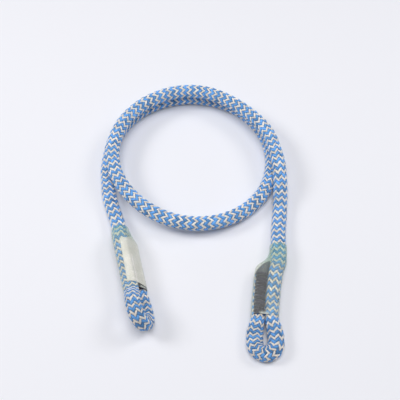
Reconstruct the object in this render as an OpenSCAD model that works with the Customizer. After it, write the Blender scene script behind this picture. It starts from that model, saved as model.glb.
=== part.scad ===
// Dynamic rope lanyard: a kernmantle rope with a sewn eye at each end, laid in a
// coil of one and a half turns. A braided sheath holds seven core strands. Each end
// is turned back into an eye, sewn through both strands and cased in a clear sleeve.
// Frame: +Z up, the floor at Z 0, the eyes towards -Y. Millimetres.

/* [Rope] */
// Diameter of the rope
rope_d = 10; // [9.5:0.1:10.5]
// Thickness of the braided sheath
sheath_wall = 0.95; // [0.8:0.05:1.2]
// Clearance between the core and the sheath
core_clear = 0.15; // [0.1:0.05:0.4]
// Clearance between neighbouring core strands
strand_gap = 0.05; // [0.03:0.01:0.2]

/* [Coil] */
// Radius of the coil, to the middle of the rope
coil_r = 60; // [57:1:66]
// Gap between two passes of the coil where one lies on the other
coil_gap = 0.6; // [0.5:0.1:2]

/* [Eyes] */
// Clear width of the left eye
left_eye_gap = 6.8; // [6.6:0.1:8]
// Clear width of the right eye
right_eye_gap = 4.3; // [4.2:0.1:8]
// Length of an eye, from the mouth of its sleeve to the outside of its tip
eye_len = 29; // [28:0.5:36]
// Length over which the two strands of an eye spread apart
eye_spread = 12; // [10:0.5:13]
// Roll of the left eye about its own axis
left_roll = 67; // [65:1:70]

/* [Sewn length] */
// Length sewn together, from the cut end of the tail to the mouth of the sleeve
sewn_len = 35; // [30:1:36]
// Width of one strand where the stitches squeeze it
sewn_w = 8.5; // [7.8:0.1:8.8]
// Height of one strand where the stitches squeeze it
sewn_h = 10.5; // [10:0.1:11]
// Length over which a strand gets its round section back in the eye
relax_len = 8; // [6:0.5:10]
// Share of the squeeze that is left at the cut end of the tail
tail_grip = 0.8; // [0.7:0.1:1]
// Slant of the right cut end: how much longer it is beside the main strand, per mm of width
cut_slant = 1.1; // [0:0.1:1.2]
// Gap between the two strands
seam_gap = 0.15; // [0.1:0.05:0.5]

/* [Sleeves] */
// Wall of the clear shrink sleeves
sleeve_wall = 0.5; // [0.4:0.05:0.8]
// Room between the strands and a sleeve, for the thread and the label
sleeve_room = 0.55; // [0.55:0.05:1]
// Room between the rope and the neck of a sleeve
neck_room = 0.2; // [0.1:0.05:0.5]

/* [Stitching] */
// Rows of thread that cross the tail strand
stitch_rows = 20; // [14:2:24]
// Width of the thread, pressed flat
thread_w = 0.9; // [0.5:0.05:1]
// Height of the thread, pressed flat
thread_h = 0.3; // [0.2:0.05:0.3]
// Clearance under the thread
thread_clear = 0.04; // [0.02:0.01:0.06]

/* [Label] */
// Thickness of the label
label_t = 0.1; // [0.08:0.01:0.12]
// Length of the label
label_len = 32; // [26:1:33]
// Distance of its lower edge from the mouth of the sleeve, on the main strand
label_from = 5.5; // [5:0.5:6.5]

/* [Hidden] */

// Derived sizes of the rope
rope_r = rope_d / 2;
bore_r = rope_r - sheath_wall;
foot = rope_d / 10;              // depth of the flat that the rope stands on
rest_z = rope_r - foot;          // height of the centreline over the floor
rope_sides = 12;
core_sides = 6;
core_bundle_r = bore_r * cos(180 / rope_sides) - core_clear;
core_r = (core_bundle_r - strand_gap) / 3;
core_pitch = 2 * core_r + strand_gap;
// Over the flat, the core is pressed and lifted clear of the sheath's flattened wall
foot_low = sheath_wall + core_clear - rest_z;
foot_press = (core_bundle_r - foot_low) / (2 * core_bundle_r);
foot_rise = (core_bundle_r + foot_low) / 2;
jacket = sleeve_room + sleeve_wall;
UP = [0, 0, 1];

// Radius of the coil at each eighth of a turn, starting on its left and running clockwise
coil_radii = [for (d = [2, 1.5, 0, 0, 0, -0.5, -2, -3, -1.5, -1.5, -2, -4, 1.5]) coil_r + d];
coil_centre = [-0.5, 44.5];
coil_turns = 1.5;
coil_steps = 24;                 // rings in one turn
climb_from = 0.5;                // turns after which the rope starts to climb
climb_to = 0.98;                 // turns after which it lies on its first pass

// Points of the free rope, each from its sleeve towards the coil; a neck is in the sleeve.
// They are given for a coil of radius 60 and move out with it.
out_x = coil_r - 60;
left_neck = [for (p = [[-48.9, -27, 12], [-49.7, -22.7, 9.2], [-50.6, -18, 6.7]]) p - [out_x, 0, 0]];
left_leg = [for (p = [[-52.2, -12, 4.8], [-54.5, -5, 4], [-57.4, 3, 4], [-59.8, 11, 4],
    [-61.2, 19.5, 4], [-62.1, 27.5, 4]]) p - [out_x, 0, 0]];
right_neck = [for (p = [[58.6, -43.5, 5.9], [59.4, -37, 5.8], [59.8, -30, 5.7]]) p + [out_x, 0, 0]];
right_leg = [for (p = [[60.2, -22.5, 4.6], [60.9, -15, 4], [61.9, -6.5, 4], [62.8, 2, 4.2],
    [63.4, 10, 6], [63.5, 18, 9.8], [63.1, 26.5, 13.4]]) p + [out_x, 0, 0]];
// How far a sleeve still reaches towards the tail at each point of its neck
left_neck_reach = [0.84, 0.42, 0.06];
right_neck_reach = [0.46, 0.15, 0.05];

// An end: place of the cut tail, headings there, at the mouth of the sleeve and in the eye,
// rolls of the sewn length and the eye, side of the main strand, clear width of the eye,
// slant of the cut
left_end = [[-45.6 - out_x, -31.4], [14, 14, 15.5], [58, left_roll], -1, left_eye_gap, 0];
right_end = [[52.35 + out_x, -47.6], [-11, -4.5, -1], [0, 0], 1, right_eye_gap, cut_slant];

// ---- small functions ----
function unit(v) = v / norm(v);
function mix(a, b, t) = a + (b - a) * t;
function ease(t) = let (c = max(0, min(1, t))) c * c * (3 - 2 * c);
function last(v) = v[len(v) - 1];
function reversed(v) = [for (i = [len(v) - 1:-1:0]) v[i]];
// v laid square to the unit vector t
function square_to(v, t) = unit(v - (v * t) * t);
// Catmull-Rom value at position x in the list v
function smooth_at(v, x) =
    let (i = min(floor(x), len(v) - 2), t = x - i, b = v[i], c = v[i + 1],
        a = i > 0 ? v[i - 1] : 2 * b - c, d = i + 2 < len(v) ? v[i + 2] : 2 * c - b)
    b + t * ((c - a) + t * ((2 * a - 5 * b + 4 * c - d) + t * (3 * b - a - 3 * c + d))) / 2;

// ---- coil ----
function coil_radius(turn) = smooth_at(coil_radii, turn * 8);
// Height that a pass needs over the one below, from their distance in plan
function lift(turn) =
    let (aside = coil_radius(turn) - coil_radius(turn - 1))
    sqrt(pow(rope_d + coil_gap, 2) - aside * aside);
function coil_point(turn) =
    let (a = 180 - 360 * turn, r = coil_radius(turn), climb = (turn - climb_from) / (climb_to - climb_from))
    [coil_centre.x + r * cos(a), coil_centre.y + r * sin(a),
        rest_z + (turn < 1 ? ease(climb) * lift(1) : lift(turn))];
// The coil's points, with a straight end one rope diameter long at each side
function coil_points(steps) =
    let (n = round(coil_turns * steps), p = [for (i = [0:n]) coil_point(i * coil_turns / n)],
        fine = 0.01, head = unit(coil_point(0) - coil_point(fine)),
        tail = unit(coil_point(coil_turns) - coil_point(coil_turns - fine)))
    concat([p[0] + rope_d * [head.x, head.y, 0]], p, [last(p) + rope_d * [tail.x, tail.y, 0]]);

// ---- ends ----
// At u mm past the mouth of the sleeve; the sewn length has u below 0
function end_heading(e, u) =
    u < 0 ? mix(e[1][1], e[1][0], -u / sewn_len) : mix(e[1][1], e[1][2], ease(u / eye_spread));
function end_roll(e, u) = mix(e[2][0], e[2][1], ease(u / eye_spread));
function end_along(e, u) = let (h = end_heading(e, u)) [sin(h), -cos(h), 0];
function end_plan(e, u) = let (h = end_heading(e, u)) e[3] * [cos(h), sin(h), 0];
// From the tail strand to the main strand, and square to the face of the eye
function end_across(e, u) = let (r = end_roll(e, u)) cos(r) * end_plan(e, u) + sin(r) * UP;
function end_face(e, u) = let (r = end_roll(e, u)) cos(r) * UP - sin(r) * end_plan(e, u);
// How much the stitches grip, from 0 where the rope is round to 1
function grip(u) = u > 0 ? 1 - ease(u / relax_len) : mix(1, tail_grip, ease(-2 * u / sewn_len - 1));
function strand_w(u) = mix(rope_d, sewn_w, grip(u));
function strand_h(u) = mix(rope_d, sewn_h, grip(u));
function eye_half(e) = (rope_d + e[4]) / 2;
function tip_u(e) = eye_len - rope_r - eye_half(e);
function half_spacing(e, u) =
    u <= 0 ? (strand_w(u) + seam_gap) / 2
    : mix((sewn_w + seam_gap) / 2, eye_half(e), ease(u / eye_spread));
// Height of the tail strand: on its sleeve, then down to the floor
function sleeve_rest(e, u) =
    let (r = end_roll(e, u))
    norm([(strand_w(u) / 2 + jacket) * sin(r), (strand_h(u) / 2 + jacket) * cos(r)]);
function tail_z(e, u) = u <= 0 ? sleeve_rest(e, u) : mix(sleeve_rest(e, 0), rest_z, ease(u / eye_spread));
// The mouth lies the sewn length beyond the cut tail
function mouth(e) = let (h = (e[1][0] + e[1][1]) / 2) [e[0].x + sewn_len * sin(h), e[0].y - sewn_len * cos(h)];
function axis_point(e, u) =
    let (h = u < 0 ? (e[1][1] + end_heading(e, u)) / 2 : e[1][2], m = mouth(e))
    [m.x + u * sin(h), m.y - u * cos(h), 0] + (tail_z(e, u) + half_spacing(e, u) * sin(end_roll(e, u))) * UP;
function strand_point(e, u, side) = axis_point(e, u) + side * half_spacing(e, u) * end_across(e, u);

sewn_steps = 5;
eye_steps = 4;
tip_steps = 8;
function stations(e) = concat([for (i = [0:sewn_steps]) -sewn_len * (1 - i / sewn_steps)],
    [for (i = [1:eye_steps]) tip_u(e) * i / eye_steps]);
// A ring: its centre, its width and height as shares of the diameter, and the ways they run
function ring(e, p, u) = [p, strand_w(u) / rope_d, strand_h(u) / rope_d, end_across(e, u), end_face(e, u)];
// Rings of an end, from the cut tail round the eye to the end of the sewn length
function end_rings(e) =
    let (us = stations(e), c = axis_point(e, tip_u(e)), u = eye_len)
    concat([for (u = us) ring(e, strand_point(e, u, -1), u)],
        [for (i = [1:tip_steps - 1]) let (a = 180 * i / tip_steps)
            ring(e, c + eye_half(e) * (sin(a) * end_along(e, u) - cos(a) * end_across(e, u)), u)],
        [for (u = reversed(us)) ring(e, strand_point(e, u, 1), u)]);
function free_rings(points) = [for (p = points) [p, 1, 1, [1, 0, 0], UP]];

// ---- the whole rope as one list of rings, from the left tail to the right tail ----
left_rings = end_rings(left_end);
right_rings = end_rings(right_end);
rings = concat(left_rings, free_rings(left_neck), free_rings(left_leg),
    free_rings(coil_points(coil_steps)),
    free_rings(reversed(right_leg)), free_rings(reversed(right_neck)), reversed(right_rings));
// Indices of the rings where one stretch meets the next
mouth_left = len(left_rings) + len(left_neck) - 1;
coil_first = mouth_left + len(left_leg) + 1;
coil_last = coil_first + round(coil_turns * coil_steps) + 2;
mouth_right = coil_last + len(right_leg) + 1;
rope_last = len(rings) - 1;

centres = [for (r = rings) r[0]];
function heading(i) =
    let (a = i > 0 ? unit(centres[i] - centres[i - 1]) : [0, 0, 0],
        b = i < rope_last ? unit(centres[i + 1] - centres[i]) : [0, 0, 0]) unit(a + b);
tangents = [for (i = [0:rope_last]) heading(i)];
// Normals carried along without twist, forwards and backwards from the start of the coil
function carried(ts, n0) =
    [for (i = 0, n = square_to(n0, ts[0]); i < len(ts);
        i = i + 1, n = i < len(ts) ? square_to(n, ts[i]) : n) n];
onward = carried([for (i = [coil_first:rope_last]) tangents[i]], UP);
backward = carried([for (i = [coil_first:-1:0]) tangents[i]], UP);
normals = [for (i = [0:rope_last]) i < coil_first ? backward[coil_first - i] : onward[i - coil_first]];

// Offset [x, y] in the plane of ring i, with the squeeze of the stitches and the slant of
// the cut, which leans a tail's last ring along the rope
function offset_in(i, xy) =
    let (t = tangents[i], w = xy.x * cross(t, normals[i]) + xy.y * normals[i],
        q = square_to(rings[i][3], t), m = square_to(rings[i][4], t),
        lean = rings[i][1] * (i == 0 ? -left_end[5] : i == rope_last ? right_end[5] : 0))
    rings[i][1] == 1 ? w
    : w + (rings[i][1] - 1) * (w * q) * q + (rings[i][2] - 1) * (w * m) * m + lean * (w * q) * t;
function polar(r, a) = [r * cos(a), r * sin(a)];
function above(p, z) = [p.x, p.y, max(p.z, z)];
// Section of radius r at ring i, no lower than floor_z
function round_ring(i, r, floor_z) =
    [for (k = [0:rope_sides - 1]) above(centres[i] + offset_in(i, polar(r, -90 + 360 * k / rope_sides)), floor_z)];
function flatness(i) = max(0, min(1, (rope_r - centres[i].z) / foot));
function pressed(w, f) = [w.x, w.y, w.z * mix(1, foot_press, f) + foot_rise * f];
// Section of a core strand whose centre lies at offset c
function core_ring(i, c) =
    [for (k = [0:core_sides - 1])
        centres[i] + pressed(offset_in(i, c + polar(core_r, 360 * k / core_sides)), flatness(i))];

// ---- solids from rings ----
function side_faces(n, m, from = 0) =
    [for (k = [0:m - 2], j = [0:n - 1]) let (a = from + k * n + j, b = from + k * n + (j + 1) % n)
        each [[a, b, b + n], [a, b + n, a + n]]];
function flipped(faces) = [for (f = faces) [f[0], f[2], f[1]]];
// A closed solid through a list of rings
module skin(sections) {
    n = len(sections[0]);
    m = len(sections);
    polyhedron([for (s = sections) each s], concat(side_faces(n, m),
        [for (j = [1:n - 2]) [0, j + 1, j]],
        [for (j = [1:n - 2]) [(m - 1) * n, (m - 1) * n + j, (m - 1) * n + j + 1]]));
}
// A tube between a list of outer rings and a list of inner ones
module pipe(outer, inner) {
    n = len(outer[0]);
    m = len(outer);
    polyhedron([for (s = concat(outer, inner)) each s], concat(side_faces(n, m),
        flipped(side_faces(n, m, m * n)),
        [for (j = [0:n - 1]) let (k = (j + 1) % n, a = m * n) each [[j, a + j, a + k], [j, a + k, k]]],
        [for (j = [0:n - 1]) let (k = (j + 1) % n, a = (m - 1) * n, b = (2 * m - 1) * n)
            each [[a + j, b + k, b + j], [a + j, a + k, b + k]]]));
}
// A sheet between two grids of points, whose rows run anticlockwise seen from outer's side
module sheet(outer, inner) {
    n = len(outer[0]);
    m = len(outer);
    s = m * n;
    cells = [for (k = [0:m - 2], j = [0:n - 2]) let (a = k * n + j)
        each [[a, a + 1, a + n + 1], [a, a + n + 1, a + n]]];
    rim = concat([for (j = [0:n - 2]) j], [for (k = [0:m - 2]) k * n + n - 1],
        [for (j = [n - 1:-1:1]) (m - 1) * n + j], [for (k = [m - 1:-1:1]) k * n]);
    polyhedron([for (r = concat(outer, inner)) each r], concat(cells,
        [for (f = cells) [f[0] + s, f[2] + s, f[1] + s]],
        [for (i = [0:len(rim) - 1]) let (a = rim[i], b = rim[(i + 1) % len(rim)])
            each [[a, a + s, b + s], [a, b + s, b]]]));
}

// ---- sub-parts ----
module sheath(first, final) {
    color([0.46, 0.62, 0.78])
    pipe([for (i = [first:final]) round_ring(i, rope_r, 0)],
        [for (i = [first:final]) round_ring(i, bore_r, sheath_wall)]);
}
module sheath_left_eye() { sheath(0, mouth_left); }
module sheath_left_leg() { sheath(mouth_left, coil_first); }
module sheath_coil() { sheath(coil_first, coil_last); }
module sheath_right_leg() { sheath(coil_last, mouth_right); }
module sheath_right_eye() { sheath(mouth_right, rope_last); }

// One unbroken core strand from tail to tail: the first in the middle, the others round it
module core_strand(k) {
    c = k == 1 ? [0, 0] : polar(core_pitch, 60 * k);
    color([0.95, 0.94, 0.9]) skin([for (i = [0:rope_last]) core_ring(i, c)]);
}
module core_strand_1() { core_strand(1); }
module core_strand_2() { core_strand(2); }
module core_strand_3() { core_strand(3); }
module core_strand_4() { core_strand(4); }
module core_strand_5() { core_strand(5); }
module core_strand_6() { core_strand(6); }
module core_strand_7() { core_strand(7); }

// Melted end of a tail: a low dome on the cut face; way is -1 at the left tail, 1 at the right
seal_profile = [[0, 0.95], [0.5, 0.97], [1.2, 0.86], [1.6, 0.55]]; // height, share of the radius
module tail_seal(i, way) {
    steps = [for (s = seal_profile)
        [for (p = round_ring(i, rope_r * s[1], 0)) p + way * s[0] * tangents[i]]];
    color([0.35, 0.4, 0.42]) skin(way > 0 ? steps : reversed(steps));
}
module tail_seal_left() { tail_seal(0, -1); }
module tail_seal_right() { tail_seal(rope_last, 1); }

// Point on the skin that lies out mm off the two strands of an end, at angle a in the
// section: 0 outside the main strand, 90 on the face, 180 outside the tail strand.
// main and tail are the strand centres, and w and h the strand's width and height.
function skin_point(main, tail, w, h, q, m, out, a) =
    (cos(a) >= 0 ? main : tail) + (w / 2 + out) * cos(a) * q + (h / 2 + out) * sin(a) * m;
arc_steps = 11;
wrap = concat([for (i = [0:arc_steps]) -89.9 + 179.8 * i / arc_steps],
    [for (i = [0:arc_steps]) 90.1 + 179.8 * i / arc_steps]);
// A neck: its points, how far the sleeve reaches at each, and the ways the rope runs
neck_left = [left_neck, left_neck_reach,
    [for (i = [0:len(left_neck) - 1]) tangents[len(left_rings) + i]]];
neck_right = [right_neck, right_neck_reach,
    [for (i = [0:len(right_neck) - 1]) -tangents[rope_last - len(right_rings) - i]]];
sleeve_steps = sewn_steps + len(left_neck);
// Point at angle a of sleeve station k, out mm off the strands. Station 0 is the mouth,
// the next ones run up the sewn length and the last ones up the neck.
function cut_tuck(e) = 0.7 * e[5]; // how far a sleeve draws in over the slant of the cut
function station_point(e, neck, k, out, a) =
    let (i = k - sewn_steps - 1, u = -sewn_len * min(1, k / sewn_steps))
    i < 0 ? skin_point(strand_point(e, u, 1),
        strand_point(e, u, -1) + (i == -1 ? cut_tuck(e) : 0) * end_across(e, u),
        strand_w(u), strand_h(u), end_across(e, u), end_face(e, u), out, a)
    : let (t = neck[2][i], q = square_to(end_across(e, u), t), m = square_to(end_face(e, u), t),
        snug = (sleeve_room - neck_room) * i / (len(neck[0]) - 1))
    skin_point(neck[0][i], neck[0][i] - neck[1][i] * rope_d * q, rope_d, rope_d, q, m, out - snug, a);
function sleeve_sections(e, neck, out, floor_z) =
    [for (k = [0:sleeve_steps]) [for (a = wrap) above(station_point(e, neck, k, out, a), floor_z)]];
module sleeve(e, neck) {
    outer = sleeve_sections(e, neck, jacket, 0);
    inner = sleeve_sections(e, neck, sleeve_room, sleeve_wall);
    color([0.85, 0.9, 0.86, 0.4])
    if (e[3] > 0) pipe(outer, inner); else pipe(reversed(outer), reversed(inner));
}
module sleeve_left() { sleeve(left_end, neck_left); }
module sleeve_right() { sleeve(right_end, neck_right); }

// Lockstitch thread, run to and fro over the face of the tail strand in one piece
// First and last row, from the mouth of the sleeve; the first one is clear of the slant
function stitch_from(e) = 2 + 0.4 * e[5] * sewn_w - sewn_len;
stitch_to = -0.5;
stitch_arc = [145, 30];          // angles on the tail strand between which a row runs
row_steps = 7;
thread_sides = 4;
function on_tail(e, u, out, a) =
    strand_point(e, u, -1) + (strand_w(u) / 2 + out) * cos(a) * end_across(e, u)
        + (strand_h(u) / 2 + out) * sin(a) * end_face(e, u);
module stitching(e) {
    out = thread_clear + thread_h / 2;
    from = stitch_from(e);
    pitch = (stitch_to - from) / (stitch_rows - 1);
    runs = [for (row = [0:stitch_rows - 1], s = [0:row_steps])
        let (t = row % 2 == 0 ? s / row_steps : 1 - s / row_steps,
            u = from + pitch * (row + 0.3 * (s / row_steps - 0.5)))
        [u, mix(stitch_arc[0], stitch_arc[1], t)]];
    path = [for (r = runs) on_tail(e, r[0], out, r[1])];
    n = len(path);
    color([0.2, 0.21, 0.23])
    skin([for (i = [0:n - 1])
        let (t = unit(path[min(i + 1, n - 1)] - path[max(i - 1, 0)]),
            o = square_to(on_tail(e, runs[i][0], out + 1, runs[i][1]) - path[i], t), s = cross(t, o))
        [for (k = [0:thread_sides - 1]) let (a = 45 + 360 * k / thread_sides)
            path[i] + (thread_w * cos(a) * s + thread_h * sin(a) * o) / sqrt(2)]]);
}
module stitching_left() { stitching(left_end); }
module stitching_right() { stitching(right_end); }

// Label wrapped over the thread, under the clear sleeve; its lower edge runs aslant
label_arc = [25, 165];           // angles in the section between which the label reaches
label_slant = 4.5;               // how much nearer the mouth its edge is on the tail strand
label_steps = 10;
module label_left() {
    low = thread_clear + thread_h + 0.05; // on the thread
    function foot_at(s) = (label_from - label_slant * s) * sewn_steps / sewn_len;
    // Between two stations the label runs straight, as the sleeve over it does
    function at(out, x, s) =
        let (k = floor(x), a = mix(label_arc[0], label_arc[1], s))
        mix(station_point(left_end, neck_left, k, out, a),
            station_point(left_end, neck_left, k + 1, out, a), x - k);
    top = (label_from + label_len) * sewn_steps / sewn_len;
    rows = [0, for (k = [1:ceil(top) - 1]) k, top];
    grid = [for (x = rows) [for (s = [0:label_steps]) [max(x, foot_at(s / label_steps)), s / label_steps]]];
    color([0.88, 0.89, 0.84])
    sheet([for (r = grid) [for (g = r) at(low, g[0], g[1])]],
        [for (r = grid) [for (g = r) at(low + label_t, g[0], g[1])]]);
}

// ---- report: length, and the least gap of the coil to itself and to the rest of the rope ----
function path_length(p) = let (d = [for (i = [1:len(p) - 1]) norm(p[i] - p[i - 1])])
    d * [for (x = d) 1];
function finer(p, k) = [for (i = [0:len(p) - 2], j = [0:k - 1]) mix(p[i], p[i + 1], j / k)];
fine_coil = coil_points(96);
fine_left = finer([for (i = [0:coil_first]) centres[i]], 4);
fine_right = finer([for (i = [coil_last:rope_last]) centres[i]], 4);
self_gap = min([for (i = [0:len(fine_coil) - 49], j = [i + 48:len(fine_coil) - 1])
    norm(fine_coil[i] - fine_coil[j])]) - rope_d;
left_gap = min([for (i = [24:len(fine_coil) - 1], p = fine_left) norm(fine_coil[i] - p)]) - rope_d;
right_gap = min([for (i = [0:len(fine_coil) - 25], p = fine_right) norm(fine_coil[i] - p)]) - rope_d;
union() {
    echo(rope_length = path_length(centres), rings = len(rings));
    echo(least_gap_of_coil = self_gap, to_left_rope = left_gap, to_right_rope = right_gap);
}

sheath_left_eye();
sheath_left_leg();
sheath_coil();
sheath_right_leg();
sheath_right_eye();
core_strand_1();
core_strand_2();
core_strand_3();
core_strand_4();
core_strand_5();
core_strand_6();
core_strand_7();
tail_seal_left();
tail_seal_right();
stitching_left();
stitching_right();
sleeve_left();
sleeve_right();
label_left();
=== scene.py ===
"""Rope lanyard with two sewn eyes: braided sheath, core, thread, clear sleeves and label.

The route of the rope is the one its solids have. Everything is in metres, +Z up, the
floor at Z 0 and the eyes towards -Y. Every new piece is a surface worked out with numpy.
"""

import math

import bpy
import numpy as np
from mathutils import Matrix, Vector


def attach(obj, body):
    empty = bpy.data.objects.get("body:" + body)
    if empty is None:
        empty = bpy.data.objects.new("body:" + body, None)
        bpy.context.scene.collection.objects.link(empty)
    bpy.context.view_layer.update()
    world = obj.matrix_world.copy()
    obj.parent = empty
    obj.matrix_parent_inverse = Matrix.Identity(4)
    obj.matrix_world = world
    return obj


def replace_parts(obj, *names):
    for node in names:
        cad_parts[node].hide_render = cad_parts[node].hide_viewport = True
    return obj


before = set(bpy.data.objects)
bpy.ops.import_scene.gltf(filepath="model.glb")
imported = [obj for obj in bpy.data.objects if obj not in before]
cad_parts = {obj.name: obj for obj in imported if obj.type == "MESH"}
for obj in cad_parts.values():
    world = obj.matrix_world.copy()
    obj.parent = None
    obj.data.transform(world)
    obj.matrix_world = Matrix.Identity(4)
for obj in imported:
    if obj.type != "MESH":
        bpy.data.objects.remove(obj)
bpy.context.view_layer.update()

bl_info = {
    "name": "Sewn Rope Lanyard",
    "version": (1, 0, 0),
    "blender": (4, 5, 0),
    "location": "View3D > Sidebar > Lanyard",
    "description": "Builds a braided rope lanyard with two sewn eyes",
    "category": "Add Mesh",
}

# ---- route of the rope ----
ROPE_D = 0.010
ROPE_R = ROPE_D / 2
SHEATH_WALL = 0.00095
CORE_CLEAR = 0.00015
STRAND_GAP = 0.00005
COIL_GAP = 0.0006
EYE_LEN = 0.029
EYE_SPREAD = 0.012
SEWN_LEN = 0.035
SEWN_W = 0.0085
SEWN_H = 0.0105
RELAX_LEN = 0.008
TAIL_GRIP = 0.8
SEAM_GAP = 0.00015
SLEEVE_WALL = 0.0005
SLEEVE_ROOM = 0.00055
FOOT = ROPE_D / 10
REST_Z = ROPE_R - FOOT
JACKET = SLEEVE_ROOM + SLEEVE_WALL
COIL_RADII = [0.062, 0.0615, 0.060, 0.060, 0.060, 0.0595, 0.058, 0.057, 0.0585, 0.0585,
              0.058, 0.056, 0.0615]
COIL_CENTRE = (-0.0005, 0.0445)
COIL_TURNS = 1.5
COIL_STEPS = 24
CLIMB_FROM, CLIMB_TO = 0.5, 0.98
LEFT_NECK = [(-0.0489, -0.0270, 0.0120), (-0.0497, -0.0227, 0.0092), (-0.0506, -0.0180, 0.0067)]
LEFT_LEG = [(-0.0522, -0.0120, 0.0048), (-0.0545, -0.0050, 0.0040), (-0.0574, 0.0030, 0.0040),
            (-0.0598, 0.0110, 0.0040), (-0.0612, 0.0195, 0.0040), (-0.0621, 0.0275, 0.0040)]
RIGHT_NECK = [(0.0586, -0.0435, 0.0059), (0.0594, -0.0370, 0.0058), (0.0598, -0.0300, 0.0057)]
RIGHT_LEG = [(0.0602, -0.0225, 0.0046), (0.0609, -0.0150, 0.0040), (0.0619, -0.0065, 0.0040),
             (0.0628, 0.0020, 0.0042), (0.0634, 0.0100, 0.0060), (0.0635, 0.0180, 0.0098),
             (0.0631, 0.0265, 0.0134)]
# How far a film still reaches towards the tail at each point of its neck
LEFT_REACH = [0.52, 0.22, 0.05]
RIGHT_REACH = [0.38, 0.12, 0.04]
# Place of the cut tail, headings and rolls in degrees, side of the main strand, clear width,
# slant of the cut, how far out the film lies on the main and the tail strand, and its groove
LEFT_END = ((-0.0456, -0.0314), (14, 14, 15.5), (58, 67), -1, 0.0068, 0.0, (0.00062, 0.00086), -0.00035)
RIGHT_END = ((0.05235, -0.0476), (-11, -4.5, -1), (0, 0), 1, 0.0043, 1.1, (0.00055, 0.00078), 0.00035)
SEWN_STEPS, EYE_STEPS, TIP_STEPS = 5, 4, 8
FINE = 8                                  # samples from one station of the route to the next
UP = np.array([0.0, 0.0, 1.0])

# ---- looks ----
# Rows of the braid over those of a straight rope, at distances in mm from each cut tail
LEFT_CROWD = ([0, 35, 50, 65, 80, 92, 100, 112, 135, 145, 155, 166, 180, 195, 210],
              [1.1, 1.2, 1.2, 1.25, 1.35, 1.5, 1.35, 1.1, 0.9, 0.75, 0.8, 1.05, 1.15, 1.05, 1.0])
RIGHT_CROWD = ([0, 35, 48, 56, 62, 70, 78, 85, 92, 100, 110, 120, 128, 145, 155, 170, 180, 190, 205, 220],
               [1.1, 1.25, 1.25, 1.75, 1.7, 1.15, 1.0, 1.1, 1.4, 1.15, 0.95, 0.86, 1.1, 1.2, 1.05, 1.0,
                0.9, 1.0, 1.15, 1.0])
CROWD_SWAY, CROWD_WAVE = 0.03, 0.062      # share and length of a slow wave in the crowding
EYE_SWELL, SWELL_FROM = 0.0007, 0.0009    # most that a strand swells in an eye, and where it starts
# Share of its squeeze that the right main strand keeps at its mouth, and how much less at the top
GRIP_KEPT, GRIP_LOST = 0.73, 0.85
MAIN_OUT, MAIN_RISE = 0.0002, 0.0005      # how much further out its film lies there, and how much more above
FILM_WALL, CUT_DRAW = 0.00025, 0.0007     # the film, and how far it is drawn in over a slanted cut
FLOAT_DEPTH, LINING_DEPTH = 0.0006, 0.00072   # middle of a float and the lining, under the crowns
CORE_SHORT, CORE_LAY = 0.0003, 0.016      # core short of each cut, and one turn of its plies
THREAD_R, THREAD_FROM = 0.00022, 0.0006   # half height of the thread, its first row from the mouth
THREAD_ROWS, THREAD_STEPS = 25, 14        # rows of thread, and points along each
# Degrees round the strand where the first and the last row start and where rows end, and their scatter
THREAD_ARC, THREAD_TO, THREAD_LOOSE = (136, 147), 27, 3
# The label: degrees that it reaches round the main and the tail strand, its two edges from the
# mouth and how much they move from one strand to the other, and its faces out from the strands
LABEL_ARC, LABEL_LOW, LABEL_HIGH = (25, 165), (0.0049, -0.0043), (0.0375, 0.0110)
LABEL_OUT = (0.00026, 0.00034)
# A melted end in mm: back from the cut, out past it, and its share of the rope's radius
MELTED = np.array([(6.0, 0, 0.985), (5.7, 0, 1.035), (5.0, 0, 1.045), (4.0, 0, 1.045), (3.0, 0, 1.045),
                   (2.0, 0, 1.045), (1.0, 0, 1.04), (0.4, 0, 1.03), (0, 0.3, 1.0), (0, 0.7, 0.95),
                   (0, 1.05, 0.86), (0, 1.35, 0.68), (0, 1.5, 0.42)])

# ---- stage ----
CAMERA_AT, CAMERA_TO, LENS = (0.0055, -0.25667, 0.42915), (0.0055, 0.0115, 0), 62.49
# Diameter, power and place of each lamp, all turned to the middle of the floor
LAMPS = {"top_box": (0.9, 8.6, (0.05, -0.08, 1.3)), "left_box": (0.45, 4.6, (-0.88, 0.16, 0.80)),
         "right_box": (0.45, 2.6, (0.78, 0.36, 0.83))}
# Light and strength of the sky, and its colour where it shows
SKY, SKY_STRENGTH, SKY_SEEN = (0.96, 0.97, 1.0, 1), 0.23, (0.900, 0.905, 0.945, 1)
# Colour of the floor far away, and the distances over which it fades to that
FLOOR_FAR, FAR_FROM, FAR_TO = (0.880, 0.885, 0.930, 1), 0.35, 1.1


def unit(v):
    """Each vector divided by its own length."""
    return v / np.linalg.norm(v, axis=-1, keepdims=True)


def dot(a, b):
    """Sum of the products of the coordinates, kept as a column."""
    return (a * b).sum(-1, keepdims=True)


def mix(a, b, t):
    """a where t is 0, b where t is 1, and a straight line between."""
    return a + (b - a) * t


def ease(t):
    """3 t squared less 2 t cubed, with t held between 0 and 1."""
    c = np.clip(t, 0, 1)
    return c * c * (3 - 2 * c)


def square_to(v, t):
    """v less its part along the unit vector t, made one long."""
    return unit(v - dot(v, t) * t)


def running(steps):
    """Running sum of the steps, from 0."""
    return np.concatenate([[0], np.cumsum(steps)])


def turns(sides):
    """Angles once round, in equal steps."""
    return np.arange(sides) * 2 * math.pi / sides


def rounds(first, final, steps, sides):
    """Distances along the rope and angles round it, steps by sides."""
    return np.meshgrid(np.linspace(first, final, steps), turns(sides), indexing="ij")


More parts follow.
